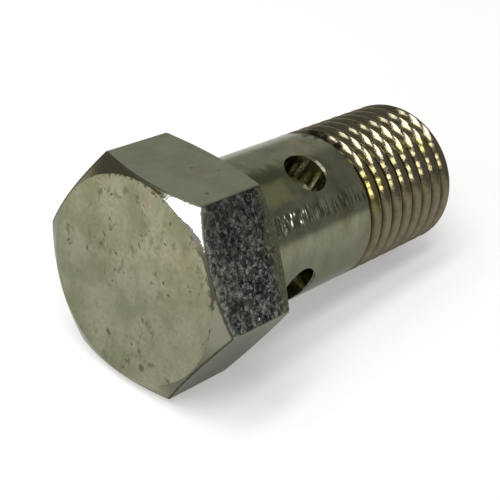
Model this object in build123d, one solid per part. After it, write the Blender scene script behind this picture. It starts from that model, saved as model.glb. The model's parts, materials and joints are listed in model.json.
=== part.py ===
from build123d import *
import math
import os

# Banjo bolt, 7/16-20 UNF with a 9/16 in hexagon, in millimetres.
# It is built along +X from the seat under the head, with one flat of the
# hexagon facing -Z, and then laid down on that flat and its thread end.

# ---- driving dimensions ----
ACROSS_FLATS = 14.29
HEAD_HEIGHT = 6.5
CORNER_ROUND = 0.25
TOP_CHAMFER_SHARE = 0.97
TOP_CHAMFER_ANGLE = 30.0
SEAT_CHAMFER_SHARE = 0.98
SEAT_CHAMFER_ANGLE = 20.0

SHANK_DIAMETER = 11.0
THREAD_DIAMETER = 11.06
PITCH = 1.27
REACH = 22.7
SHANK_LENGTH = 12.1
SEAT_FILLET = 0.3

BORE_DIAMETER = 6.8
BORE_FLOOR = 2.0
DRILL_POINT_ANGLE = 118.0
MOUTH_CHAMFER = 0.35

CROSS_DIAMETER = 3.2
CROSS_RIM = 0.15
CROSS_STATIONS = (7.2, 4.4)
CROSS_ANGLES = (22.5, 107.0)
SEAM_ANGLE = -20.0

# The drillings' angles are from up towards -Y. The seam of the turned faces
# is from +Y towards up, where none of the drillings crosses it.

# ---- worked out from them ----
CORNER_RADIUS = ACROSS_FLATS / 2 / math.cos(math.radians(30))
TOP_CHAMFER_RADIUS = ACROSS_FLATS / 2 * TOP_CHAMFER_SHARE
SEAT_RADIUS = ACROSS_FLATS / 2 * SEAT_CHAMFER_SHARE
SHANK_RADIUS = SHANK_DIAMETER / 2
THREAD_RADIUS = THREAD_DIAMETER / 2
THREAD_DEPTH = 0.6134 * PITCH
BORE_RADIUS = BORE_DIAMETER / 2
CROSS_RADIUS = CROSS_DIAMETER / 2


def head_envelope():
    """The turned outline of the head, which chamfers the corners at both ends."""
    top = (CORNER_RADIUS - TOP_CHAMFER_RADIUS) * math.tan(math.radians(TOP_CHAMFER_ANGLE))
    seat = (CORNER_RADIUS - SEAT_RADIUS) * math.tan(math.radians(SEAT_CHAMFER_ANGLE))
    outline = Polyline(
        (-HEAD_HEIGHT, 0),
        (-HEAD_HEIGHT, TOP_CHAMFER_RADIUS),
        (-HEAD_HEIGHT + top, CORNER_RADIUS),
        (-seat, CORNER_RADIUS),
        (0, SEAT_RADIUS),
        (0, 0),
        close=True,
    )
    return revolve(make_face(outline), Axis.X)


def head():
    """A hexagonal bar with rounded corners, cut to the turned outline."""
    section = RegularPolygon(CORNER_RADIUS, 6, rotation=0)
    section = fillet(section.vertices(), CORNER_ROUND)
    bar = extrude(Plane.YZ * section, -HEAD_HEIGHT)
    return bar & head_envelope()


def shank():
    """The plain shank, and the thread at its crests, with a chamfered end."""
    outline = Polyline(
        (-HEAD_HEIGHT / 2, 0),
        (-HEAD_HEIGHT / 2, SHANK_RADIUS),
        (SHANK_LENGTH, SHANK_RADIUS),
        (SHANK_LENGTH, THREAD_RADIUS),
        (REACH - THREAD_DEPTH, THREAD_RADIUS),
        (REACH, THREAD_RADIUS - THREAD_DEPTH),
        (REACH, 0),
        close=True,
    )
    return Rot(SEAM_ANGLE, 0, 0) * revolve(make_face(outline), Axis.X)


def bore():
    """The blind axial drilling with its cone and its chamfered mouth."""
    point = BORE_RADIUS / math.tan(math.radians(DRILL_POINT_ANGLE / 2))
    outline = Polyline(
        (BORE_FLOOR - point, 0),
        (BORE_FLOOR, BORE_RADIUS),
        (REACH - MOUTH_CHAMFER, BORE_RADIUS),
        (REACH, BORE_RADIUS + MOUTH_CHAMFER),
        (REACH + 1, BORE_RADIUS + MOUTH_CHAMFER),
        (REACH + 1, 0),
        close=True,
    )
    return Rot(SEAM_ANGLE, 0, 0) * revolve(make_face(outline), Axis.X)


def cross_drilling(station, angle):
    """One drilling through both walls, with a broken edge at both mouths."""
    through = Cylinder(CROSS_RADIUS, 2 * THREAD_RADIUS + 2)
    flare = 1.0
    sink = Cone(CROSS_RADIUS, CROSS_RADIUS + CROSS_RIM + flare, CROSS_RIM + flare)
    rise = SHANK_RADIUS - CROSS_RIM + (CROSS_RIM + flare) / 2
    tool = through + Pos(0, 0, rise) * sink + Pos(0, 0, -rise) * Rot(180, 0, 0) * sink
    return Pos(station, 0, 0) * Rot(angle, 0, 0) * tool


def bolt():
    """The whole bolt along +X, with its seat at x = 0."""
    body = head() + shank()
    inner = body.edges().filter_by(GeomType.CIRCLE)
    inner = [e for e in inner if abs(e.radius - SHANK_RADIUS) < 1e-6 and abs(e.arc_center.X) < 1e-6]
    body = fillet(inner, SEAT_FILLET)
    body = body - bore()
    for station, angle in zip(CROSS_STATIONS, CROSS_ANGLES):
        body = body - cross_drilling(station, angle)
    return body.solid()


def laid_down(body):
    """Tilts the bolt until the seat edge of its lower flat and its thread end both touch."""
    seat_edge = -(ACROSS_FLATS / 2 - SEAT_RADIUS) * math.tan(math.radians(SEAT_CHAMFER_ANGLE))
    drop = ACROSS_FLATS / 2 - THREAD_RADIUS
    tilt = math.degrees(math.atan2(drop, REACH - THREAD_DEPTH - seat_edge))
    body = Rot(0, tilt, 0) * body
    box = body.bounding_box()
    centre = box.center()
    return Pos(-centre.X, -centre.Y, -box.min.Z) * body


os.makedirs("parts", exist_ok=True)
banjo_bolt = laid_down(bolt())
banjo_bolt.label = "banjo_bolt"
export_step(banjo_bolt, "parts/banjo_bolt.step")
box = banjo_bolt.bounding_box()
print("size", box.size, "volume", banjo_bolt.volume, "faces", len(banjo_bolt.faces()))
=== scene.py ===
# %% [markdown]
# # A zinc-plated banjo bolt
# A banjo bolt holds a ring-shaped hose end, the banjo, against a housing. It is
# hollow: oil or brake fluid leaves the housing through the bore in the thread
# end, comes out of two small cross drillings, and so reaches the hose.
# This lesson builds one in the order in which a factory would: the head, the
# shank, the thread, the drillings, and at last the zinc.

# %% Start
import json
import math

import bmesh
import bpy
from mathutils import Matrix, Vector

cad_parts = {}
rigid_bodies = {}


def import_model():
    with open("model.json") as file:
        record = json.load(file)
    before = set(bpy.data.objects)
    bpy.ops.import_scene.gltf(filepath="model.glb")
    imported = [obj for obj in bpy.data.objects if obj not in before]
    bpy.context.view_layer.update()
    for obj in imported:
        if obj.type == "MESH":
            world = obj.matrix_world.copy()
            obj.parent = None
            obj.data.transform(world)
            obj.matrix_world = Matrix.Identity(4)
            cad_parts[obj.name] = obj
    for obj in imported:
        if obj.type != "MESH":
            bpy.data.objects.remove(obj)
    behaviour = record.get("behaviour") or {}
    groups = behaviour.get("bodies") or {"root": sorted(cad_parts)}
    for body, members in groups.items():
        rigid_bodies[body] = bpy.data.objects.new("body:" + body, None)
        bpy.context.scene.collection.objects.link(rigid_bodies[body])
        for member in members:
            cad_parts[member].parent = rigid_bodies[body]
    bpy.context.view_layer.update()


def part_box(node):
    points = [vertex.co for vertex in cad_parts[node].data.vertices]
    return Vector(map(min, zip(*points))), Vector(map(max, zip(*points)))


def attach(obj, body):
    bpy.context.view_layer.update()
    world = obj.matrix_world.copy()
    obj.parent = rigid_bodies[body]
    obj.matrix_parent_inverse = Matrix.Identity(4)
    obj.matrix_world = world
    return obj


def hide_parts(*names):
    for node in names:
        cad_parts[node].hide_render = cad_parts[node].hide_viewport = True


for leftover in list(bpy.data.objects):
    bpy.data.objects.remove(leftover)
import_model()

# %% [markdown]
# ## Sizes
# A maker's drawing gives sizes in millimetres, measured along the bolt from
# its seat, the ring under the head that presses on the sealing washer. All the
# shapes below are drawn in that frame, with the bolt along X, and are laid in
# their place on the table only at the end. So each number can be read off the
# drawing, and no shape has to know how the bolt lies.

# %% Sizes of the bolt, in millimetres
MM = 0.001
ACROSS_FLATS = 14.29
HEAD_HEIGHT = 6.5
CORNER_ROUND = 0.25
TOP_CIRCLE = 6.93  # where the end face meets its chamfer
SEAT_CIRCLE = 7.0
SEAT_CHAMFER = math.radians(20)
SHANK_RADIUS = 5.5
SEAT_FILLET = 0.3
REACH = 22.7
GRID_START = 10.4  # ahead of the run-out, on the plain shank
CREST_RADIUS = 5.53
PITCH = 1.27
THREAD_DEPTH = 0.779
BORE_RADIUS = 3.4
BORE_FLOOR = 2.0
MOUTH_CHAMFER = 0.35
CROSS_RADIUS = 1.6
CROSS_RIM = 0.15
CROSS_DRILLINGS = ((7.2, 112.5), (4.4, 197.0))  # station, angle from +Y to up
FIRST_CREST = 12.317  # where the first whole crest crosses the +Y side
print("length", HEAD_HEIGHT + REACH, "mm, pitch", PITCH, "mm")

# %% [markdown]
# ## How it lies
# A bolt can't stand on its thread, so it lies as it comes to rest: on one flat
# of the head and on the rim of its thread end. That tips its axis by a few
# degrees. One matrix holds the whole placement, and its numbers come from the
# touching points and from the frame's own box, so nothing is placed by eye.

# %% The placement of the bolt
seat_edge = -(ACROSS_FLATS / 2 - SEAT_CIRCLE) * math.tan(SEAT_CHAMFER)
tip = math.atan2(ACROSS_FLATS / 2 - CREST_RADIUS, REACH - THREAD_DEPTH - seat_edge)
turn = Matrix.Rotation(tip, 4, "Y")
high = Vector(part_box("banjo_bolt")[1])
touching = turn @ Vector((seat_edge, 0, -ACROSS_FLATS / 2))
far_end = turn @ Vector((REACH, 0, CREST_RADIUS - THREAD_DEPTH))
shift = Matrix.Translation((high.x - far_end.x * MM, 0, -touching.z * MM))
place = shift @ turn @ Matrix.Scale(MM, 4)
print("tipped by", round(math.degrees(tip), 2), "degrees")
print("seat centre", [round(c / MM, 3) for c in place.translation])

# %% [markdown]
# ## Rounded outlines
# No edge on a real part is a perfect line. Tumbling and plating leave a small
# round on each, and it is that round that catches the light. Here a lathe
# outline is a list of corners, and one helper replaces each corner by a short
# arc. It also puts a point just past each end of the arc, which keeps the
# smooth shading of the arc from leaking over the flat beside it.

# %% Round the corners of an outline
ARC_STEPS = 4
GUARD = 0.03


def rounded(corners):
    """corners is a list of (x, radius from the axis, size of the round)."""
    points = []
    for i, (x, r, size) in enumerate(corners):
        here = Vector((x, r))
        if size == 0:
            points.append(here)
            continue
        back = (Vector(corners[i - 1][:2]) - here).normalized()
        ahead = (Vector(corners[i + 1][:2]) - here).normalized()
        half = back.angle(ahead) / 2
        reach = size / math.tan(half)
        middle = here + (back + ahead).normalized() * size / math.sin(half)
        first = here + back * reach - middle
        sweep = math.pi - 2 * half
        side = 1 if first.x * ahead.y - first.y * ahead.x > 0 else -1
        points.append(here + back * (reach + GUARD))
        for step in range(ARC_STEPS + 1):
            spin = Matrix.Rotation(side * sweep * step / ARC_STEPS, 2)
            points.append(middle + spin @ first)
        points.append(here + ahead * (reach + GUARD))
    return points


print("points on a round", len(rounded([(0, 0, 0), (0, 5, 0.2), (5, 5, 0)])) - 2)

# %% [markdown]
# ## Skinning
# The bolt is nearly a turned part, so every surface can be built from rings
# round the axis. A row of points at one angle is a column of the skin. Two
# helpers turn columns into vertices and join neighbouring rings with quads.

# %% Make rings and join them
def ring_rows(mesh, columns):
    """columns is a list of (angle, outline). Returns the vertices ring by ring."""
    rows = []
    for points in zip(*(outline for _, outline in columns)):
        ring = []
        for (angle, _), (x, r) in zip(columns, points):
            ring.append(mesh.verts.new((x, r * math.cos(angle), r * math.sin(angle))))
        rows.append(ring)
    return rows


def skin(mesh, rows):
    """Joins each ring to the next, all the way round."""
    for ring, after in zip(rows, rows[1:]):
        for i, here in enumerate(ring):
            there = (i + 1) % len(ring)
            mesh.faces.new((here, ring[there], after[there], after[i]))


def close_on_axis(mesh, ring, x):
    """Closes a ring with a fan of triangles to a point on the axis."""
    point = mesh.verts.new((x, 0, 0))
    for i, here in enumerate(ring):
        mesh.faces.new((here, ring[(i + 1) % len(ring)], point))


print("helpers ready")

# %% [markdown]
# ## The head
# The head starts as hexagonal bar. A lathe tool then takes a cone off its
# corners at both ends, which gives the curved scallops on the flats. Both are
# simple rules in terms of the angle round the axis: the bar gives the radius
# there, and the cone gives where its flat begins. So each column of the skin
# gets its own outline, with more columns where the corners are rounded.

# %% The hexagonal bar
CORNER_CENTRE = (ACROSS_FLATS / 2 - CORNER_ROUND) / math.cos(math.radians(30))
CORNER_SPREAD = math.atan2(
    CORNER_ROUND * math.sin(math.radians(30)),
    CORNER_CENTRE + CORNER_ROUND * math.cos(math.radians(30)),
)


def bar_radius(angle):
    """The hexagon's radius at an angle. It has a corner at angle 0."""
    off = abs((angle + math.pi / 6) % (math.pi / 3) - math.pi / 6)
    if off > CORNER_SPREAD:
        return ACROSS_FLATS / 2 / math.cos(math.pi / 6 - off)
    side = CORNER_CENTRE * math.sin(off)
    return CORNER_CENTRE * math.cos(off) + math.sqrt(CORNER_ROUND**2 - side**2)


print("across corners", round(2 * bar_radius(0), 3))

# %% The angles of the head's columns
corner_steps = [CORNER_SPREAD * s / 3 for s in range(-3, 4)]
guard_steps = [-CORNER_SPREAD - 0.004, CORNER_SPREAD + 0.004]
flat_steps = [math.radians(a) for a in range(3, 58, 3)]
head_angles = []
for corner in range(6):
    for step in sorted(corner_steps + guard_steps + flat_steps):
        head_angles.append(corner * math.pi / 3 + step)
print("columns round the head", len(head_angles))

# %% The outline of the head at one angle
TOP_CHAMFER = math.radians(30)
SEAT_INNER = 6.4  # where the head's skin ends and the shank's begins
FACE_RINGS = (0.8, 1.8, 2.8, 3.8, 4.8, 5.8)
SIDE_RINGS = (0.8, 0.65, 0.5, 0.35, 0.2)  # shares of the head's height


def head_outline(angle):
    """The lathe's outline of the head where the bar has its radius at this angle."""
    bar = bar_radius(angle)
    top = (bar - TOP_CIRCLE) * math.tan(TOP_CHAMFER)
    seat = (bar - SEAT_CIRCLE) * math.tan(SEAT_CHAMFER)
    corners = [(-HEAD_HEIGHT, r, 0) for r in FACE_RINGS]
    corners.append((-HEAD_HEIGHT, TOP_CIRCLE, 0.16))
    corners.append((-HEAD_HEIGHT + top, bar, 0.1))
    corners += [(-HEAD_HEIGHT * share, bar, 0) for share in SIDE_RINGS]
    corners.append((-seat, bar, 0.08))
    corners.append((0, SEAT_CIRCLE, 0.05))
    corners.append((0, SEAT_INNER, 0))
    return rounded(corners)


bolt = bmesh.new()
head = ring_rows(bolt, [(a, head_outline(a)) for a in head_angles])
skin(bolt, head)
close_on_axis(bolt, head[0], -HEAD_HEIGHT)
print("rings on the head", len(head))

# %% [markdown]
# ## The thread
# A rolled thread is a rule: the distance from the axis depends only on how far
# a point lies along the bolt, less one pitch for each turn round it. Geometry
# Nodes can bend a flat grid by such a rule. The rows of the grid are slanted
# so that each one follows the helix, as a crest does. A crest then stays a
# clean line, where rows straight across would cut it into steps.
# The groove deepens along its own path over half a turn, as it does where the
# rolls let go, and a cone at the end leads the bolt into its port. The rolls
# also chatter a little, which leaves shallow waves across the ridges.

# %% A helper that adds a node
MATH = "ShaderNodeMath"
VECTOR = "ShaderNodeVectorMath"
JOINED = "ShaderNodeCombineXYZ"
RANGE = "ShaderNodeMapRange"
NOISE = "ShaderNodeTexNoise"


def add(tree, kind, *values, sockets=None, **settings):
    """Adds a node. Values fill its inputs in order, and sockets fills them by name or number.
    A value that is a node or a socket is linked, and any other is set."""
    node = tree.nodes.new(kind)
    for name, value in settings.items():
        setattr(node, name, value)
    for key, value in [*enumerate(values), *(sockets or {}).items()]:
        if isinstance(value, bpy.types.Node):
            value = next(output for output in value.outputs if output.enabled)
        if isinstance(value, bpy.types.NodeSocket):
            tree.links.new(value, node.inputs[key])
        else:
            node.inputs[key].default_value = value
    return node


print("node helper ready")

# %% The thread's tree and its named sizes
COLUMNS = 192
ROWS_A_TURN = 32
tree = bpy.data.node_groups.new("rolled_thread", "GeometryNodeTree")
tree.is_modifier = True
THREAD_SIZES = {
    "Length": REACH - GRID_START,
    "Pitch": PITCH,
    "Depth": THREAD_DEPTH,
    "Crest Radius": CREST_RADIUS,
    "Shank Radius": SHANK_RADIUS,
    "First Crest": FIRST_CREST - GRID_START,
    "Run Out": 0.55,  # in turns
    "Chatter": 0.03,
}
ports = tree.interface
ports.new_socket("Geometry", in_out="OUTPUT", socket_type="NodeSocketGeometry")
for name in THREAD_SIZES:
    ports.new_socket(name, in_out="INPUT", socket_type="NodeSocketFloat")
size = add(tree, "NodeGroupInput").outputs
print("inputs", [s.name for s in ports.items_tree if s.in_out == "INPUT"])

# %% The slanted grid
turns = THREAD_SIZES["Length"] / PITCH + 1
rows = math.ceil(turns * ROWS_A_TURN)
grid = add(tree, "GeometryNodeMeshGrid", 1, 1, COLUMNS + 1, rows + 1)
position = add(tree, "GeometryNodeInputPosition")
where = add(tree, "ShaderNodeSeparateXYZ", position).outputs
lap = add(tree, MATH, where["X"], 0.5, operation="ADD")
half_up = add(tree, MATH, where["Y"], 0.5, operation="ADD")
row = add(tree, MATH, half_up, rows / ROWS_A_TURN, operation="MULTIPLY")
later = add(tree, MATH, row, lap, operation="ADD")
slant = add(tree, MATH, later, 1, operation="SUBTRACT")
free = add(tree, MATH, slant, size["Pitch"], operation="MULTIPLY")
begun = add(tree, MATH, free, 0, operation="MAXIMUM")
along = add(tree, MATH, begun, size["Length"], operation="MINIMUM")
angle = add(tree, MATH, lap, 2 * math.pi, operation="MULTIPLY")
print("rows", rows, "quads", rows * COLUMNS)

# %% The shape of one pitch
FLANK = math.tan(math.radians(60))  # both flanks lie 60 degrees apart
CREST_CURVE = 0.22  # how far aside the crest bends into its flank
ROOT_CURVE = 0.2
past = add(tree, MATH, along, size["First Crest"], operation="SUBTRACT")
pitches = add(tree, MATH, past, size["Pitch"], operation="DIVIDE")
phase = add(tree, MATH, pitches, lap, operation="SUBTRACT")
half_on = add(tree, MATH, phase, 0.5, operation="ADD")
part = add(tree, MATH, half_on, operation="FRACT")
centred = add(tree, MATH, part, 0.5, operation="SUBTRACT")
aside = add(tree, MATH, centred, size["Pitch"], operation="MULTIPLY")
squared = add(tree, MATH, aside, aside, CREST_CURVE**2, operation="MULTIPLY_ADD")
bent_flank = add(tree, MATH, squared, operation="SQRT")
drop = add(tree, MATH, bent_flank, CREST_CURVE, operation="SUBTRACT")
flank = add(tree, MATH, drop, FLANK, operation="MULTIPLY")
groove = add(tree, MATH, flank, size["Depth"], ROOT_CURVE, operation="SMOOTH_MIN")
print("flanks at", round(math.degrees(math.atan(FLANK)), 1), "degrees from the axis")

# %% The run-out and the end cone
RUN_OUT_START = -1.35  # in turns along the groove
whole = add(tree, MATH, phase, operation="FLOOR")
path = add(tree, MATH, whole, lap, operation="ADD")
run_out_end = add(tree, MATH, size["Run Out"], RUN_OUT_START, operation="ADD")
grow = add(tree, RANGE, path, RUN_OUT_START, run_out_end, interpolation_type="SMOOTHSTEP")
swell = add(tree, MATH, size["Crest Radius"], size["Shank Radius"], operation="SUBTRACT")
crest = add(tree, MATH, swell, grow, size["Shank Radius"], operation="MULTIPLY_ADD")
cut = add(tree, MATH, groove, grow, operation="MULTIPLY")
threaded = add(tree, MATH, crest, cut, operation="SUBTRACT")
end_radius = add(tree, MATH, size["Crest Radius"], size["Depth"], operation="SUBTRACT")
left = add(tree, MATH, size["Length"], along, operation="SUBTRACT")
cone = add(tree, MATH, end_radius, left, operation="ADD")
smooth = add(tree, MATH, threaded, cone, operation="MINIMUM")
print("end radius", round(CREST_RADIUS - THREAD_DEPTH, 3))

# %% The rolls' chatter
WAVE = 1.3  # millimetres from one wave to the next, round the bolt
WAVE_STRETCH = 0.3  # below 1 draws the waves out along the bolt
WAVE_TOP = 0.8  # the noise seldom passes this, so nearly all waves cut inward
FADE = 4  # the waves fade out over the last 1/4 mm before the thread's end
across = add(tree, MATH, angle, operation="COSINE")
up = add(tree, MATH, angle, operation="SINE")
surface_y = add(tree, MATH, across, size["Crest Radius"], operation="MULTIPLY")
surface_z = add(tree, MATH, up, size["Crest Radius"], operation="MULTIPLY")
surface_x = add(tree, MATH, along, WAVE_STRETCH, operation="MULTIPLY")
surface = add(tree, JOINED, surface_x, surface_y, surface_z)
waves = add(tree, NOISE, sockets={"Vector": surface, "Scale": 1 / WAVE, "Detail": 1.0})
wave = add(tree, MATH, waves, WAVE_TOP, operation="SUBTRACT")
faded = add(tree, MATH, left, FADE, operation="MULTIPLY")
inland = add(tree, MATH, faded, grow, operation="MINIMUM")
full_wave = add(tree, MATH, wave, size["Chatter"], operation="MULTIPLY")
height = add(tree, MATH, full_wave, inland, operation="MULTIPLY")
radius = add(tree, MATH, smooth, height, operation="ADD")
print("chatter up to", THREAD_SIZES["Chatter"], "mm")

# %% Bend the grid into the thread
x = add(tree, MATH, along, GRID_START, operation="ADD")
y = add(tree, MATH, across, radius, operation="MULTIPLY")
z = add(tree, MATH, up, radius, operation="MULTIPLY")
spot = add(tree, JOINED, x, y, z)
bent = add(tree, "GeometryNodeSetPosition", sockets={"Geometry": grid, "Position": spot})
seam = {"Geometry": bent, "Distance": 0.001}
merged = add(tree, "GeometryNodeMergeByDistance", sockets=seam)
real = add(tree, "GeometryNodeRealizeInstances", merged)
zinc = bpy.data.materials.new("zinc_on_rolled_thread")
coat = {"Geometry": real, "Material": zinc}
coated = add(tree, "GeometryNodeSetMaterial", sockets=coat)
add(tree, "NodeGroupOutput", coated)
print("nodes in the tree", len(tree.nodes))

# %% Run the tree and keep the plain mesh
thread_maker = bpy.data.objects.new("thread_maker", bpy.data.meshes.new("thread_maker"))
bpy.context.collection.objects.link(thread_maker)
rule = thread_maker.modifiers.new("thread", "NODES")
rule.node_group = tree
for socket in ports.items_tree:
    if socket.in_out == "INPUT":
        rule[socket.identifier] = THREAD_SIZES[socket.name]
graph = bpy.context.evaluated_depsgraph_get()
thread_mesh = bpy.data.meshes.new_from_object(thread_maker.evaluated_get(graph))
bpy.data.objects.remove(thread_maker)
print("thread faces", len(thread_mesh.polygons))

# %% [markdown]
# ## The shank and the bore
# The shank meets the thread in the same ring of vertices, so the two weld
# together. Inside, the bore runs from its mouth in the thread end to a cone
# left by the point of the drill. The whole bolt is then one closed skin, which
# the next step can cut into.

# %% Weld the shank, the thread and the bore
FILLET_RING = 6.2  # the radius of the ring on the seat, before the fillet
FIRST_RING = 1.5  # the station of the first ring past the fillet
SHANK_RINGS = (2.8, 4.1, 5.4, 6.7, 8.0, 9.2, GRID_START)
BORE_RINGS = (18, 14, 10, 6, BORE_FLOOR)
DRILL_POINT = math.radians(118)
angles = [2 * math.pi * i / COLUMNS for i in range(COLUMNS)]
root = CREST_RADIUS - THREAD_DEPTH
fillet = [(0, FILLET_RING, 0), (0, SHANK_RADIUS, SEAT_FILLET), (FIRST_RING, SHANK_RADIUS, 0)]
shank_outline = rounded(fillet) + [Vector((x, SHANK_RADIUS)) for x in SHANK_RINGS]
shank = ring_rows(bolt, [(a, shank_outline) for a in angles])
skin(bolt, shank)
mouth = [(REACH, root, 0), (REACH, BORE_RADIUS + MOUTH_CHAMFER, 0.06)]
mouth.append((REACH - MOUTH_CHAMFER, BORE_RADIUS, 0.06))
bore_outline = rounded(mouth + [(x, BORE_RADIUS, 0) for x in BORE_RINGS])
point = BORE_RADIUS / math.tan(DRILL_POINT / 2)
bore = ring_rows(bolt, [(a, bore_outline) for a in angles])
skin(bolt, bore)
close_on_axis(bolt, bore[-1], BORE_FLOOR - point)
print("vertices so far", len(bolt.verts))

# %% Join the seat ring and weld
def ring_edges(mesh, ring):
    """The edges between neighbours on a ring."""
    return [mesh.edges.get((v, ring[(i + 1) % len(ring)])) for i, v in enumerate(ring)]


seat_edges = ring_edges(bolt, head[-1]) + ring_edges(bolt, shank[0])
bmesh.ops.bridge_loops(bolt, edges=seat_edges)
bolt.from_mesh(thread_mesh)
bmesh.ops.remove_doubles(bolt, verts=bolt.verts, dist=0.002)
bmesh.ops.recalc_face_normals(bolt, faces=bolt.faces)
open_edges = [e for e in bolt.edges if not e.is_manifold]
print("faces", len(bolt.faces), "open edges", len(open_edges))

# %% [markdown]
# ## The cross drillings
# Each cross drilling goes through both walls, and its mouths are lightly
# countersunk so that no burr cuts the seal. A boolean does what the drill
# does. The cutter is a turned shape: a rod that flares at both ends.

# %% A drill
CUTTER_SIDES = 96


def drill(station, angle):
    """A cutter across the bolt at a station along it."""
    flare = 1.0
    sunk = SHANK_RADIUS - CROSS_RIM
    half = [(sunk + flare, 0), (sunk + flare, CROSS_RADIUS + flare), (sunk, CROSS_RADIUS)]
    outline = half + [(0, CROSS_RADIUS)] + [(-x, r) for x, r in reversed(half)]
    cutter = bmesh.new()
    round_it = [2 * math.pi * i / CUTTER_SIDES for i in range(CUTTER_SIDES)]
    rings = ring_rows(cutter, [(a, outline[1:-1]) for a in round_it])
    skin(cutter, rings)
    close_on_axis(cutter, rings[0], outline[0][0])
    close_on_axis(cutter, rings[-1], outline[-1][0])
    bmesh.ops.recalc_face_normals(cutter, faces=cutter.faces)
    aim = Vector((0, math.cos(angle), math.sin(angle)))
    axis = Vector((1, 0, 0))
    across = Matrix((aim, axis, aim.cross(axis))).transposed()
    laid = Matrix.Translation((station, 0, 0)) @ across.to_4x4()
    bmesh.ops.transform(cutter, verts=cutter.verts, matrix=laid)
    data = bpy.data.meshes.new("drill")
    cutter.to_mesh(data)
    cutter.free()
    return bpy.data.objects.new("drill", data)


print("drill", 2 * CROSS_RADIUS, "mm wide")

# %% Cut the cross drillings
solid = bpy.data.meshes.new("bolt")
bolt.to_mesh(solid)
bolt.free()
piece = bpy.data.objects.new("bolt", solid)
bpy.context.collection.objects.link(piece)
drills = []
for station, degrees in CROSS_DRILLINGS:
    cutter = drill(station, math.radians(degrees))
    bpy.context.collection.objects.link(cutter)
    cut = piece.modifiers.new("drilling", "BOOLEAN")
    cut.operation = "DIFFERENCE"
    cut.solver = "EXACT"
    cut.object = cutter
    drills.append(cutter)
graph = bpy.context.evaluated_depsgraph_get()
solid = bpy.data.meshes.new_from_object(piece.evaluated_get(graph))
piece.modifiers.clear()
for cutter in drills:
    bpy.data.objects.remove(cutter)
print("drillings cut", len(drills))

# %% Measure the cut solid
check = bmesh.new()
check.from_mesh(solid)
open_edges = [e for e in check.edges if not e.is_manifold]
print("faces", len(check.faces), "open edges", len(open_edges))
print("volume in cubic millimetres", round(check.calc_volume(), 1))
check.free()

# %% [markdown]
# ## Finishes
# The whole bolt is one metal, steel with zinc on it and a thin olive passivate
# over the zinc. But each surface was made in its own way, and that shows
# through the plate: a struck face is dull and pitted, a turned one is smooth, a
# rolled thread shines. So each face is first sorted by where it lies and which
# way it points, and each way of making then gets its own material.

# %% Tell a face's finish
FINISHES = (
    "struck_face",
    "turned_chamfer",
    "drawn_flat",
    "scaled_flat",
    "turned_shank",
    "rolled_thread",
    "deburred_rim",
    "drilled_hole",
)
THREAD_EDGE = 11.5  # where the run-out begins
NEAR = 0.01


def finish_of(centre, normal):
    """The finish of a face, from its centre and its normal on the drawing."""
    from_axis = math.hypot(centre.y, centre.z)
    outward = (normal.y * centre.y + normal.z * centre.z) / max(from_axis, 1e-6)
    if centre.x > THREAD_EDGE:
        inside = from_axis < root - NEAR and outward < 0.3
        return "drilled_hole" if inside else "rolled_thread"
    if centre.x > 0:
        if from_axis < SHANK_RADIUS - 0.2:
            return "drilled_hole"
        return "turned_shank" if centre.x < 1 or outward > 0.98 else "deburred_rim"
    if centre.x > -HEAD_HEIGHT + 2 * NEAR and from_axis < BORE_RADIUS + NEAR:
        return "drilled_hole"
    if centre.x < -HEAD_HEIGHT + NEAR:
        return "struck_face"
    if abs(normal.x) > 0.2:
        return "turned_chamfer"
    side = math.degrees(math.atan2(centre.z, centre.y)) % 360
    return "scaled_flat" if 120 < side < 180 else "drawn_flat"


print("kinds of finish", len(FINISHES))

# %% Sort the faces and lay the bolt down
solid.materials.clear()
for face in solid.polygons:
    face.material_index = FINISHES.index(finish_of(face.center, face.normal))
    face.use_smooth = True
solid.set_sharp_from_angle(angle=math.radians(38))
solid.transform(place)
piece.data = solid
used = [face.material_index for face in solid.polygons]
print({name: used.count(i) for i, name in enumerate(FINISHES)})

# %% [markdown]
# ## Shared parts of the finishes
# Every finish reads the same coordinates as the drawing does: millimetres along
# the bolt from its seat, and across it. So a cloud 3 mm wide is written as a
# noise of scale 1/3, and a stain on one side of the bolt as an angle round it.
# A stain is always laid in the same way: something grows from a start to a full
# value, and the stain's share of the colour grows with it.
# Zinc is a metal, so it has no colour of its own but that of what it mirrors.
# Its base colour only dims and tints that. The tint at the edge is darker than
# on polished metal, because plate is slightly rough however smooth it looks.

# %% Colours
def linear(code):
    """An sRGB hex value as linear red, green, blue and alpha."""
    parts = [int(code[i : i + 2], 16) / 255 for i in (1, 3, 5)]
    return [c / 12.92 if c < 0.04045 else ((c + 0.055) / 1.055) ** 2.4 for c in parts] + [1]


print("olive zinc", [round(c, 3) for c in linear("#9e9d86")])

# %% Start and end a plated finish
MIX = "ShaderNodeMix"
STRETCH = "ShaderNodeMapping"
BUMP = "ShaderNodeBump"


def start_plate(name):
    """An empty material for a finish. Returns its tree and its place on the drawing."""
    plate = zinc if name == "rolled_thread" else bpy.data.materials.new("zinc_on_" + name)
    plate.use_nodes = True
    plate.node_tree.nodes.clear()
    solid.materials.append(plate)
    tree = plate.node_tree
    here = add(tree, "ShaderNodeTexCoord").outputs["Object"]
    drawing = {"Vector": here, "Location": place.translation}
    drawing.update({"Rotation": (0, tip, 0), "Scale": (MM, MM, MM)})
    return tree, add(tree, STRETCH, sockets=drawing, vector_type="TEXTURE")


def end_plate(tree, shade, roughness, relief):
    """Makes a metal of a shade, a roughness and a relief, and hands it to the output."""
    look = {"Base Color": shade, "Metallic": 1.0, "Roughness": roughness, "Normal": relief}
    look["Specular Tint"] = linear("#dcdcd4")
    metal = add(tree, "ShaderNodeBsdfPrincipled", sockets=look)
    add(tree, "ShaderNodeOutputMaterial", metal)


print("finishes to make", len(FINISHES))

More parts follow.
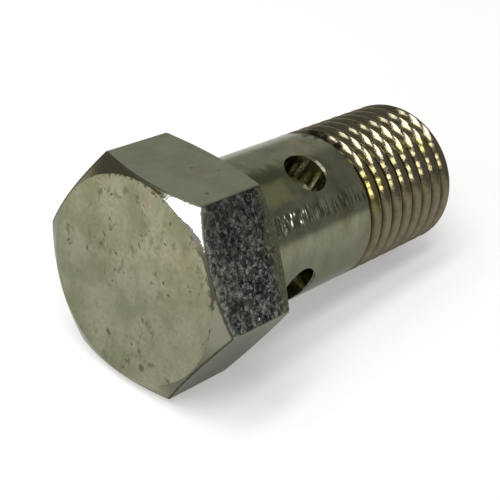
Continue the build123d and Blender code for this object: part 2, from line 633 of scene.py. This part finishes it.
# %% Stains and clouds
def stain(tree, shade, cause, start, full, share, code):
    """Lays a stain over a shade, where its cause goes from start to full."""
    amount = add(tree, RANGE, cause, start, full, 0, share, interpolation_type="SMOOTHSTEP")
    return add(tree, MIX, sockets={0: amount, 6: shade, 7: linear(code)}, data_type="RGBA")


def cloudy_zinc(tree, spot, pale, deep, warm):
    """Zinc as the bath left it: clouds about 3 mm wide, and warmer stains of 2 mm."""
    soft = {"Vector": spot, "Scale": 1 / 2.9, "Detail": 4.0, "Roughness": 0.6}
    clouds = add(tree, NOISE, sockets=soft)
    shade = stain(tree, linear(deep), clouds, 0.38, 0.62, 1, pale)
    tall = add(tree, STRETCH, sockets={"Vector": spot, "Scale": (1, 1.5, 0.8)})
    warmth = add(tree, NOISE, sockets={"Vector": tall, "Scale": 1 / 2, "Detail": 3.0})
    return stain(tree, shade, warmth, 0.5, 0.66, 0.45, warm), clouds


print("stains ready")

# %% Pits
def pits(tree, spot, apart, radius, bare):
    """Round pits of a radius, about so far apart. A share of their places is left bare."""
    cell = add(tree, "ShaderNodeTexVoronoi", sockets={"Vector": spot, "Scale": 1 / apart})
    lot = add(tree, "ShaderNodeSeparateColor", cell.outputs["Color"])
    edge, core = radius / apart, 0.3 * radius / apart
    hollow = add(tree, RANGE, cell, edge, core, interpolation_type="SMOOTHSTEP")
    chosen = add(tree, RANGE, lot, bare, bare + 0.15, interpolation_type="SMOOTHSTEP")
    return add(tree, MATH, hollow, chosen, operation="MULTIPLY")


print("pits ready")

# %% Where a spot lies round the bolt
def off_axis(tree, spot):
    """A spot's distance from the bolt's axis."""
    flat = add(tree, VECTOR, spot, (0, 1, 1), operation="MULTIPLY")
    return add(tree, VECTOR, flat, operation="LENGTH")


def direction(degrees):
    """The unit vector across the bolt at an angle from +Y toward up."""
    return (0, math.cos(math.radians(degrees)), math.sin(math.radians(degrees)))


def toward(tree, spot, degrees):
    """The cosine of a spot's angle round the bolt from a given one: 1 there, and -1 opposite."""
    flat = add(tree, VECTOR, spot, (0, 1, 1), operation="MULTIPLY")
    outward = add(tree, VECTOR, flat, operation="NORMALIZE")
    return add(tree, VECTOR, outward, direction(degrees), operation="DOT_PRODUCT")


print("sides ready")

# %% [markdown]
# ## The struck end face
# A die struck this face when the head was formed. Scale on the blank and grit
# in the die left soft pits, up to 0.3 or 0.7 mm wide and mostly in drifts, and a
# few thin scratches. The plate is thickest and dullest here, so the face mirrors
# nothing sharply. It shows the olive passivate best, in clouds that turn grey or
# brownish. Its lower part is painted darker, a painted shade. Dirt makes faint
# smudges among the pits and a ragged line along the rim, on the side of the
# scaled flat.
# Plated zinc is about 0.2 rough when smooth. A struck face starts at 0.4.

# %% Zinc on the struck face
tree, spot = start_plate("struck_face")
shade, clouds = cloudy_zinc(tree, spot, "#9e9d86", "#838469", "#968b72")
gritty = {"Vector": spot, "Scale": 1 / 0.38, "Detail": 5.0, "Roughness": 0.65}
grain = add(tree, NOISE, sockets=gritty)
shade = stain(tree, shade, grain, 0.56, 0.34, 0.35, "#747358")
# Painted shade: the face is painted darker toward its bottom.
upward = add(tree, VECTOR, spot, (0, 0, 1), operation="DOT_PRODUCT")
shade = stain(tree, shade, upward, 4, -1.5, 0.32, "#6b6c62")
print("clouds 3 mm wide, grain 0.4 mm wide")

# %% Pits and smudges of the struck face
drift = add(tree, NOISE, sockets={"Vector": spot, "Scale": 1 / 0.9, "Detail": 3.0})
wobble = add(tree, VECTOR, spot, drift.outputs["Color"], operation="ADD")
crowd = add(tree, NOISE, sockets={"Vector": spot, "Scale": 1 / 3.6, "Detail": 2.0})
crowd = add(tree, RANGE, crowd, 0.4, 0.58, 0.25, 1, interpolation_type="SMOOTHSTEP")
large = pits(tree, wobble, 1.2, 0.37, 0.45)
small = pits(tree, wobble, 0.53, 0.16, 0.6)
both = add(tree, MATH, large, small, operation="MAXIMUM")
pit = add(tree, MATH, both, crowd, operation="MULTIPLY")
shade = stain(tree, shade, pit, 0, 1, 0.75, "#4c4830")
tall = {"Vector": spot, "Location": (0, 4, 0), "Scale": (1, 1.5, 0.8)}
tall = add(tree, STRETCH, sockets=tall)
soft = {"Vector": tall, "Scale": 1 / 0.7, "Detail": 4.0, "Roughness": 0.6}
smudge = add(tree, MATH, add(tree, NOISE, sockets=soft), crowd, operation="MULTIPLY")
shade = stain(tree, shade, smudge, 0.48, 0.68, 0.55, "#5f5f45")
print("pits of 0.37 and 0.16 mm radius")

# %% Scratches and the rim of the struck face
RIM_SIDE = 125  # degrees round the head, between the top flat and the scaled one
thin = add(tree, STRETCH, sockets={"Vector": wobble, "Scale": (1, 4.5, 0.5)})
scratch = add(tree, NOISE, sockets={"Vector": thin, "Scale": 1.0, "Detail": 2.0})
scratch = add(tree, RANGE, scratch, 0.69, 0.74, interpolation_type="SMOOTHSTEP")
shade = stain(tree, shade, scratch, 0, 1, 0.5, "#5f5a42")
ragged = add(tree, MATH, grain, 2.2, off_axis(tree, spot), operation="MULTIPLY_ADD")
near = toward(tree, spot, RIM_SIDE)
dirty = add(tree, RANGE, near, -0.2, 0.5, 0.2, 1, interpolation_type="SMOOTHSTEP")
# The grain adds 1.1 on average, so this begins some 0.2 mm inside the rim.
dirt = add(tree, RANGE, ragged, 7.85, 8.2, 0, 0.75, interpolation_type="SMOOTHSTEP")
dirt = add(tree, MATH, dirt, dirty, operation="MULTIPLY")
shade = stain(tree, shade, dirt, 0, 1, 1, "#4a4636")
sunk = add(tree, MATH, pit, scratch, operation="ADD")
swollen = add(tree, MATH, grain, 0.6, operation="MULTIPLY")
height = add(tree, MATH, swollen, sunk, operation="SUBTRACT")
relief = add(tree, BUMP, sockets={"Strength": 0.7, "Distance": 0.04 * MM, "Height": height})
roughness = add(tree, RANGE, clouds, 0.3, 0.7, 0.4, 0.52)
end_plate(tree, shade, roughness, relief)
print("material", solid.materials[-1].name)

# %% [markdown]
# ## The turned chamfers
# A tool cut these cones, so they are smooth and throw back a lamp as one bright
# patch. The corner above the scaled flat, where the low strip's patch falls, is
# painted near white, a painted highlight. The corner along the top is painted
# dark brown, and the corners lower down darker grey: painted shade. Dull dirt
# lies in a thin ragged line along the flats, and in a wider one beside the end
# face next to the bright corner, where it gives the bright patch its uneven outline.

# %% Zinc on the turned chamfers
# Degrees round the head, where the stain starts and is full, its share, its colour.
CORNERS = (
    (78, 0.55, 0.86, 0.65, "#57503f"),  # painted shade, dark brown
    (185, 0.54, 0.74, 0.8, "#7d7d6e"),
    (215, 0.85, 0.97, 0.7, "#56554b"),
    (330, 0.45, 0.75, 0.7, "#56564c"),
    (120, 0.94, 0.98, 0.9, "#cfcfc8"),  # painted highlight, near white
)
tree, spot = start_plate("turned_chamfer")
shade, _ = cloudy_zinc(tree, spot, "#98967e", "#8a8b75", "#8f866c")
turned = {"Vector": spot, "Scale": 1 / 0.25, "Detail": 4.0, "Roughness": 0.6}
grain = add(tree, NOISE, sockets=turned)
# Painted light on the chamfers: a painted highlight at 120 degrees, painted shade on the other
# corners.
for degrees, start, full, amount, code in CORNERS:
    shade = stain(tree, shade, toward(tree, spot, degrees), start, full, amount, code)
print("corners stained", len(CORNERS))

# %% Dirt along the edges of the chamfers
DIRTY_RIM = 143  # degrees round the head
ragged = add(tree, MATH, grain, -0.5, off_axis(tree, spot), operation="MULTIPLY_ADD")
wide = add(tree, RANGE, toward(tree, spot, DIRTY_RIM), 0.86, 0.98, 0, -0.45)
inner = add(tree, MATH, ragged, wide, operation="ADD")
inner = add(tree, RANGE, inner, 6.66, 6.5, interpolation_type="SMOOTHSTEP")
# A spot reaches some way toward each pair of flats. Where the farthest of these
# is half the width across flats, it lies on a flat.
outer = 0
for degrees in (30, 90, 150):
    across = add(tree, VECTOR, spot, direction(degrees), operation="DOT_PRODUCT")
    across = add(tree, MATH, across, operation="ABSOLUTE")
    outer = add(tree, MATH, across, outer, operation="MAXIMUM")
outer = add(tree, MATH, grain, 0.2, outer, operation="MULTIPLY_ADD")
outer = add(tree, RANGE, outer, 7.05, 7.2, interpolation_type="SMOOTHSTEP")
dull = add(tree, MATH, inner, outer, operation="MAXIMUM")
shade = stain(tree, shade, dull, 0, 1, 0.85, "#3c3c30")
relief = add(tree, BUMP, sockets={"Strength": 0.2, "Distance": 0.02 * MM, "Height": grain})
roughness = add(tree, RANGE, grain, 0.35, 0.65, 0.12, 0.18)
roughness = add(tree, MATH, dull, 0.4, roughness, operation="MULTIPLY_ADD")
end_plate(tree, shade, roughness, relief)
print("material", solid.materials[-1].name)

# %% [markdown]
# ## The drawn flats
# The sides of the head are the sides of the bar that it was cut from. The bar
# was drawn through a die, which left them even, with faint marks along the bolt
# and a pit here and there. The marks are finer than 0.1 mm on a real bar. Here
# they are drawn 0.4 mm wide, so that they show. One of the two flats beside the
# one that the bolt lies on faces the floor, and it is painted darker: painted shade.

# %% Zinc on the drawn flats
LOW_FLAT = 210  # degrees round the head
tree, spot = start_plate("drawn_flat")
shade, clouds = cloudy_zinc(tree, spot, "#989882", "#8f907c", "#938f77")
long = add(tree, STRETCH, sockets={"Vector": spot, "Scale": (0.25, 1, 1)})
marks = add(tree, NOISE, sockets={"Vector": long, "Scale": 1 / 0.4, "Detail": 4.0})
shade = stain(tree, shade, marks, 0.65, 0.35, 0.15, "#6c6c58")
pit = pits(tree, spot, 1.25, 0.2, 0.45)
shade = stain(tree, shade, pit, 0, 1, 0.65, "#45432f")
# Painted shade on the flat that faces the floor.
shade = stain(tree, shade, toward(tree, spot, LOW_FLAT), 0.8, 0.9, 0.85, "#64645b")
height = add(tree, MATH, marks, pit, operation="SUBTRACT")
relief = add(tree, BUMP, sockets={"Strength": 0.25, "Distance": 0.02 * MM, "Height": height})
roughness = add(tree, RANGE, clouds, 0.3, 0.7, 0.3, 0.38)
end_plate(tree, shade, roughness, relief)
print("material", solid.materials[-1].name)

# %% [markdown]
# ## The scaled flat
# One side of this bar kept its mill scale, and zinc grips that badly. It grew
# there as separate crystals about 0.26 mm wide, each of which faces its own way.
# Most of them mirror the dark room and a few catch a lamp, so the flat is
# charcoal with sparks in it. Here each cell of a Voronoi pattern leans the
# surface its own way. Toward the seat the scale was worn off, and the plate
# there is nearly as on the other flats. The edge beside the chamfer is rubbed.

# %% Zinc on the scaled flat
UPPER_CORNER = 125  # degrees round the head
tree, spot = start_plate("scaled_flat")
uneven = add(tree, NOISE, sockets={"Vector": spot, "Scale": 1 / 0.67, "Detail": 3.0})
station = add(tree, "ShaderNodeSeparateXYZ", spot)
worn_edge = add(tree, MATH, uneven, 1.2, station, operation="MULTIPLY_ADD")
worn = add(tree, RANGE, worn_edge, -1.1, 0.25, 0, 0.9, interpolation_type="SMOOTHSTEP")
gritty = {"Vector": spot, "Scale": 1 / 0.33, "Detail": 7.0, "Roughness": 0.75}
grit = add(tree, NOISE, sockets=gritty)
shade = stain(tree, linear("#262929"), grit, 0.45, 0.66, 1, "#8b908a")
patches = add(tree, NOISE, sockets={"Vector": spot, "Scale": 1 / 2, "Detail": 3.0})
shade = stain(tree, shade, patches, 0.45, 0.65, 0.5, "#66645a")
shade = stain(tree, shade, toward(tree, spot, UPPER_CORNER), 0.9, 1.0, 0.4, "#2e3133")
shade = stain(tree, shade, worn, 0, 1, 1, "#656751")
print("worn beside the seat")

# %% The rubbed edge of the scaled flat
# On the chamfer's cone, the station less its slope's share of the radius is the
# same everywhere. It grows away from the cone, so it tells how far off that is.
rise = -math.tan(TOP_CHAMFER)
from_edge = add(tree, MATH, off_axis(tree, spot), rise, station, operation="MULTIPLY_ADD")
rubbed = add(tree, MATH, uneven, -1.4, from_edge, operation="MULTIPLY_ADD")
shade = stain(tree, shade, rubbed, -10.6, -11.2, 0.8, "#868a80")
print("rubbed from", round(-HEAD_HEIGHT + rise * TOP_CIRCLE, 2))

# %% Lean a surface over
def leaning(tree, lean):
    """The surface's own normal, leaned over by a vector."""
    own = add(tree, "ShaderNodeNewGeometry").outputs["Normal"]
    return add(tree, VECTOR, add(tree, VECTOR, own, lean, operation="ADD"), operation="NORMALIZE")


print("lean ready")

# %% The crystals' own slopes
CRYSTAL = 0.26
drift = add(tree, NOISE, sockets={"Vector": spot, "Scale": 1 / 0.5, "Detail": 2.0})
wobble = add(tree, VECTOR, spot, drift.outputs["Color"], operation="ADD")
cells = {"Vector": wobble, "Scale": 1 / CRYSTAL}
crystal = add(tree, "ShaderNodeTexVoronoi", sockets=cells).outputs["Color"]
slope = add(tree, VECTOR, crystal, (0.5, 0.5, 0.5), operation="SUBTRACT")
kept = add(tree, MATH, worn, -0.9, 0.9, operation="MULTIPLY_ADD")
lean = add(tree, VECTOR, sockets={0: slope, "Scale": kept}, operation="SCALE")
faceted = {"Strength": 0.6, "Distance": 0.1 * MM, "Height": grit, "Normal": leaning(tree, lean)}
end_plate(tree, shade, 0.13, add(tree, BUMP, sockets=faceted))
print("material", solid.materials[-1].name)

# %% [markdown]
# ## The turned shank
# The shank was turned, so it has fine rings round it, and the plate over them
# is bright enough to mirror the floor and the wall with a soft edge between.
# The passivate has run over it in darker and paler smears. Its lower side is
# painted darker, a painted shade. Along one line, the jaws that held the bolt
# have nicked it. A nick's side leans toward the head, as a thread's flank does,
# and so it catches the same low lamps.

# %% Dirt where the thread begins
DIRT_STATION, DIRT_SIDE = 11.8, 82  # where it is thickest


def thread_dirt(tree, spot, shade):
    """Blots of dirt, about 1 mm wide, where the thread begins and on top of it."""
    blots = add(tree, NOISE, sockets={"Vector": spot, "Scale": 1 / 0.9, "Detail": 3.0})
    station = add(tree, "ShaderNodeSeparateXYZ", spot)
    beyond = add(tree, MATH, station, DIRT_STATION, operation="SUBTRACT")
    beyond = add(tree, MATH, beyond, operation="ABSOLUTE")
    away = add(tree, MATH, beyond, -0.12, blots, operation="MULTIPLY_ADD")
    # Three times the cosine, so that the angle counts for more than the blots do.
    lifted = add(tree, MATH, toward(tree, spot, DIRT_SIDE), 3, away, operation="MULTIPLY_ADD")
    return stain(tree, shade, lifted, 3.36, 3.46, 0.8, "#1e1c13")


print("dirt round station", DIRT_STATION)

# %% Zinc on the turned shank
BELOW = 215  # degrees round the shank
tree, spot = start_plate("turned_shank")
shade, clouds = cloudy_zinc(tree, spot, "#8c8d75", "#7e816d", "#8a7f62")
ringed = add(tree, STRETCH, sockets={"Vector": spot, "Scale": (5, 0.5, 0.5)})
fine = {"Vector": ringed, "Scale": 1.0, "Detail": 4.0, "Roughness": 0.65}
feed = add(tree, NOISE, sockets=fine)
shade = stain(tree, shade, feed, 0.6, 0.35, 0.11, "#57523f")
wide = add(tree, STRETCH, sockets={"Vector": spot, "Scale": (1, 0.6, 0.6)})
soft = {"Vector": wide, "Scale": 1 / 1.4, "Detail": 4.0, "Roughness": 0.6}
smear = add(tree, NOISE, sockets=soft)
shade = stain(tree, shade, smear, 0.5, 0.66, 0.4, "#5a5738")
shade = stain(tree, shade, smear, 0.46, 0.34, 0.3, "#a3a38a")
# Painted shade: the lower side of the shank is painted darker.
shade = stain(tree, shade, toward(tree, spot, BELOW), 0.35, 0.95, 0.7, "#55554c")
station = add(tree, "ShaderNodeSeparateXYZ", spot)
from_seat = add(tree, MATH, smear, 3, station, operation="MULTIPLY_ADD")
shade = thread_dirt(tree, spot, shade)
print("feed marks 0.2 mm apart")

# %% The runs of passivate beside the head
# It ran down thick and dark on top, and thin and yellow beside that. Each run
# has its side in degrees, its end, its share and its colour.
RUNS = ((106, 6.0, 0.6, "#4a4a2a"), (119, 5.4, 0.65, "#b0ae7e"))
for degrees, end, amount, code in RUNS:
    close = add(tree, MATH, smear, 0.05, toward(tree, spot, degrees), operation="MULTIPLY_ADD")
    run = add(tree, RANGE, close, 1.0, 1.024, interpolation_type="SMOOTHSTEP")
    near_head = add(tree, RANGE, from_seat, end + 2, end, interpolation_type="SMOOTHSTEP")
    run = add(tree, MATH, run, near_head, operation="MULTIPLY")
    shade = stain(tree, shade, run, 0, 1, amount, code)
print("runs", len(RUNS))

# %% The nicks of the jaws
JAW = 142  # degrees round the shank
short = {"Vector": spot, "Location": (10.1, 0, 0), "Scale": (5, 1.2, 1.2)}
short = add(tree, STRETCH, sockets=short)
streak = add(tree, NOISE, sockets={"Vector": short, "Scale": 1.0, "Detail": 2.0})
near = add(tree, MATH, streak, 0.006, toward(tree, spot, JAW), operation="MULTIPLY_ADD")
gripped = add(tree, RANGE, near, 0.99, 1.003, interpolation_type="SMOOTHSTEP")
dent = add(tree, RANGE, streak, 0.53, 0.37, interpolation_type="SMOOTHSTEP")
dent = add(tree, MATH, dent, gripped, operation="MULTIPLY")
shade = stain(tree, shade, dent, 0, 1, 0.65, "#3b3925")
nick = add(tree, RANGE, streak, 0.54, 0.62, interpolation_type="SMOOTHSTEP")
nick = add(tree, MATH, nick, gripped, operation="MULTIPLY")
firmer = add(tree, RANGE, station, 3, 8, 1, 0.35)
nick = add(tree, MATH, nick, firmer, operation="MULTIPLY")
shade = stain(tree, shade, nick, 0, 1, 0.8, "#c6c8be")
lean = add(tree, VECTOR, sockets={0: (-1.5, 0, 0), "Scale": nick}, operation="SCALE")
turned = {"Strength": 0.35, "Distance": 0.02 * MM, "Height": feed, "Normal": leaning(tree, lean)}
roughness = add(tree, RANGE, clouds, 0.3, 0.7, 0.14, 0.22)
end_plate(tree, shade, roughness, add(tree, BUMP, sockets=turned))
print("material", solid.materials[-1].name)

# %% [markdown]
# ## The rolled thread
# Rolls pressed this thread, and pressing burnishes. So it is the brightest part
# of the bolt, and each ridge throws back every lamp as a small spindle of
# light. Passivate gathers in a groove, which makes it brown there, and wears
# off a crest, which makes it pale. Deepest in each groove it is painted near
# black, a painted shade. Where drops hung while the bolt dried, the film is
# thicker and golden. The under side is dull, and it is painted darker, with its
# grooves darker still: painted shade. Dirt lies on top where the thread begins.

# %% Zinc on the rolled thread
DROPS, UNDER = 140, 205  # degrees round the thread
tree, spot = start_plate("rolled_thread")
radius = off_axis(tree, spot)
shade = stain(tree, linear("#787052"), radius, 5.1, 5.45, 1, "#7e7764")
tint = add(tree, NOISE, sockets={"Vector": spot, "Scale": 1 / 2, "Detail": 2.0})
wet = add(tree, RANGE, toward(tree, spot, DROPS), 0.86, 0.98, interpolation_type="SMOOTHSTEP")
drop = add(tree, RANGE, tint, 0.45, 0.6, 0.05, 0.8, interpolation_type="SMOOTHSTEP")
golden = add(tree, MATH, drop, wet, operation="MULTIPLY")
shade = stain(tree, shade, golden, 0, 1, 1, "#857c4c")
uneven = {"Vector": spot, "Scale": 1 / 0.55, "Detail": 5.0, "Roughness": 0.65}
smear = add(tree, NOISE, sockets=uneven)
shade = stain(tree, shade, smear, 0.6, 0.35, 0.3, "#463e2e")
# Painted shade deep in each groove.
shade = stain(tree, shade, radius, 5.1, 4.85, 0.7, "#2c261e")
print("gold round", DROPS, "degrees")

# %% The thread's under side, its painted shade and its dirt
under = add(tree, RANGE, toward(tree, spot, UNDER), 0.56, 0.8)
# Painted shade: the under side is painted darker, and its grooves darker still.
shade = stain(tree, shade, under, 0, 1, 0.25, "#5d5648")
deep = add(tree, RANGE, radius, 5.4, 5.0)
shaded_grooves = add(tree, MATH, deep, under, operation="MULTIPLY")
shade = stain(tree, shade, shaded_grooves, 0, 1, 0.75, "#2b241d")
shade = thread_dirt(tree, spot, shade)
relief = add(tree, BUMP, sockets={"Strength": 0.4, "Distance": 0.025 * MM, "Height": smear})
roughness = add(tree, RANGE, under, 0, 1, 0.09, 0.4)
end_plate(tree, shade, roughness, relief)
print("material", solid.materials[-1].name)

# %% [markdown]
# ## The drillings and their rims
# Little plate reaches the inside of a hole, so the bore and the drillings keep
# the colour of the passivate over bare steel, with the drill's rings in it. A
# file took the burr off each rim. It left a narrow edge that is darker but
# rougher than what lies beside it, so it glows softly all along the side that
# faces the light.

# %% Zinc on the rims
tree, spot = start_plate("deburred_rim")
filed = add(tree, NOISE, sockets={"Vector": spot, "Scale": 1 / 0.33, "Detail": 3.0})
shade = stain(tree, linear("#4c4b3c"), filed, 0.35, 0.65, 1, "#7a786a")
relief = add(tree, BUMP, sockets={"Strength": 0.5, "Distance": 0.04 * MM, "Height": filed})
end_plate(tree, shade, 0.42, relief)
print("material", solid.materials[-1].name)

# %% Zinc in the drillings
tree, spot = start_plate("drilled_hole")
rings = add(tree, NOISE, sockets={"Vector": spot, "Scale": 1 / 0.33, "Detail": 3.0})
shade = stain(tree, linear("#959377"), rings, 0.35, 0.65, 1, "#b1af90")
relief = add(tree, BUMP, sockets={"Strength": 0.5, "Distance": 0.03 * MM, "Height": rings})
end_plate(tree, shade, 0.18, relief)
print("materials", [m.name for m in solid.materials])

# %% [markdown]
# ## Into the frame
# The bolt is one solid that never moves in itself, so it is one piece. It
# stands for the plain solid of the same size, which stays behind it for
# collisions, and it rides on the only body there is.

# %% Hand the piece to the frame
piece.name = "plated_bolt"
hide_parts("banjo_bolt")
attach(piece, "root")
print("piece rides on root")

# %% [markdown]
# ## The floor
# A sheet of white paper. It is lit as any surface is, so that the bolt's shadow
# lies on it. A share of plain white is mixed in for rays that come from the
# camera, and for those that bounce off metal, so that the bolt mirrors the same
# white that is seen behind it. All other rays find plain paper.

# %% Floor
PLAIN_WHITE = 0.35  # its share
bpy.ops.mesh.primitive_plane_add(size=4)
floor = bpy.context.object
floor.name = "floor"
paper = bpy.data.materials.new("white_paper")
paper.use_nodes = True
tree = paper.node_tree
tree.nodes.clear()
card = add(tree, "ShaderNodeBsdfDiffuse", linear("#f4f4f2"))
white = add(tree, "ShaderNodeEmission", sockets={"Strength": 1.0})
rays = add(tree, "ShaderNodeLightPath").outputs
bounced = add(tree, MATH, rays["Is Glossy Ray"], rays["Is Transmission Ray"], operation="MAXIMUM")
seen = add(tree, MATH, rays["Is Camera Ray"], bounced, operation="MAXIMUM")
share = add(tree, MATH, seen, PLAIN_WHITE, operation="MULTIPLY")
mixed = add(tree, "ShaderNodeMixShader", share, card, white)
add(tree, "ShaderNodeOutputMaterial", mixed)
floor.data.materials.append(paper)
print("floor", floor.dimensions[:])

# %% [markdown]
# ## The camera
# It looks down on the end face from the left, from 9 cm away, and is rolled a
# little, so that the bolt rises to the right across the picture.

# %% Camera
camera = bpy.data.objects.new("camera", bpy.data.cameras.new("camera"))
bpy.context.collection.objects.link(camera)
camera.location = Vector((-61.726, -45.185, 53.690)) * MM
camera.rotation_euler = [math.radians(a) for a in (56.535, -6.816, -48.108)]
camera.data.lens = 91.307
camera.data.clip_start = 0.005
bpy.context.scene.camera = camera
print("camera", camera.location[:])

# %% [markdown]
# ## The lamps
# Polished metal shows its lamps rather than its own colour, so their shape
# matters more than their strength. Here daylight comes through a skylight of
# three tall panes and three small low ones. On each ridge of the thread they
# become six spindles of light in a row, the lower three smaller. The light of
# one low strip lies on the corner of the chamfer. Each lamp is set by two
# angles, its azimuth from +X toward +Y and its height above the floor, as a
# photographer would walk round the table.

# %% Softboxes
LAMP_DISTANCE = 0.5


def softbox(name, azimuth, elevation, width, height, roll, radiance):
    """An area lamp that faces the bolt. Its angles are in degrees."""
    lamp = bpy.data.lights.new(name, "AREA")
    lamp.shape = "RECTANGLE"
    lamp.size, lamp.size_y = width, height
    lamp.energy = radiance * math.pi * width * height
    box = bpy.data.objects.new(name, lamp)
    bpy.context.collection.objects.link(box)
    round_table = Matrix.Rotation(math.radians(azimuth), 3, "Z")
    away = round_table @ Matrix.Rotation(math.radians(-elevation), 3, "Y") @ Vector((1, 0, 0))
    box.location = away * LAMP_DISTANCE
    upright = away.to_track_quat("Z", "Y").to_matrix()
    box.rotation_euler = (upright @ Matrix.Rotation(math.radians(roll), 3, "Z")).to_euler()
    box.visible_camera = False


softbox("skylight_pane_1", 135, 56, 0.07, 0.2, 50, 5.0)
softbox("skylight_pane_2", 161.7, 67.7, 0.1, 0.42, 26, 8.5)
softbox("skylight_pane_3", 207.2, 60.6, 0.088, 0.42, -23, 8.5)
softbox("low_pane_1", 199.5, 28, 0.036, 0.13, -40, 8.0)
softbox("low_pane_2", 205.3, 17.8, 0.032, 0.13, -56, 11.0)
softbox("low_pane_3", 208.9, 11.3, 0.028, 0.13, -64, 10.0)
softbox("low_strip", 174, 18.5, 0.24, 0.08, -24, 11.0)

# %% [markdown]
# ## The room
# What the bolt mirrors beside the lamps is a plain grey room, with one lighter
# wall behind it. That wall is what makes the top flat and the top of the shank
# paler than their sides.

# %% World
ROOM, WALL = 0.36, 0.72  # how bright they are
WALL_SIDE = (0.5, 0.866, 0)  # 60 degrees from +X toward +Y
world = bpy.data.worlds.new("studio")
bpy.context.scene.world = world
world.use_nodes = True
tree = world.node_tree
tree.nodes.clear()
way = add(tree, "ShaderNodeTexCoord").outputs["Generated"]
behind = add(tree, VECTOR, way, WALL_SIDE, operation="DOT_PRODUCT")
level = add(tree, RANGE, behind, 0.60, 0.76, ROOM, WALL, interpolation_type="SMOOTHSTEP")
room = add(tree, "ShaderNodeBackground", sockets={"Strength": level})
add(tree, "ShaderNodeOutputWorld", room)
bpy.context.scene.view_settings.view_transform = "Standard"
print("world", world.name)
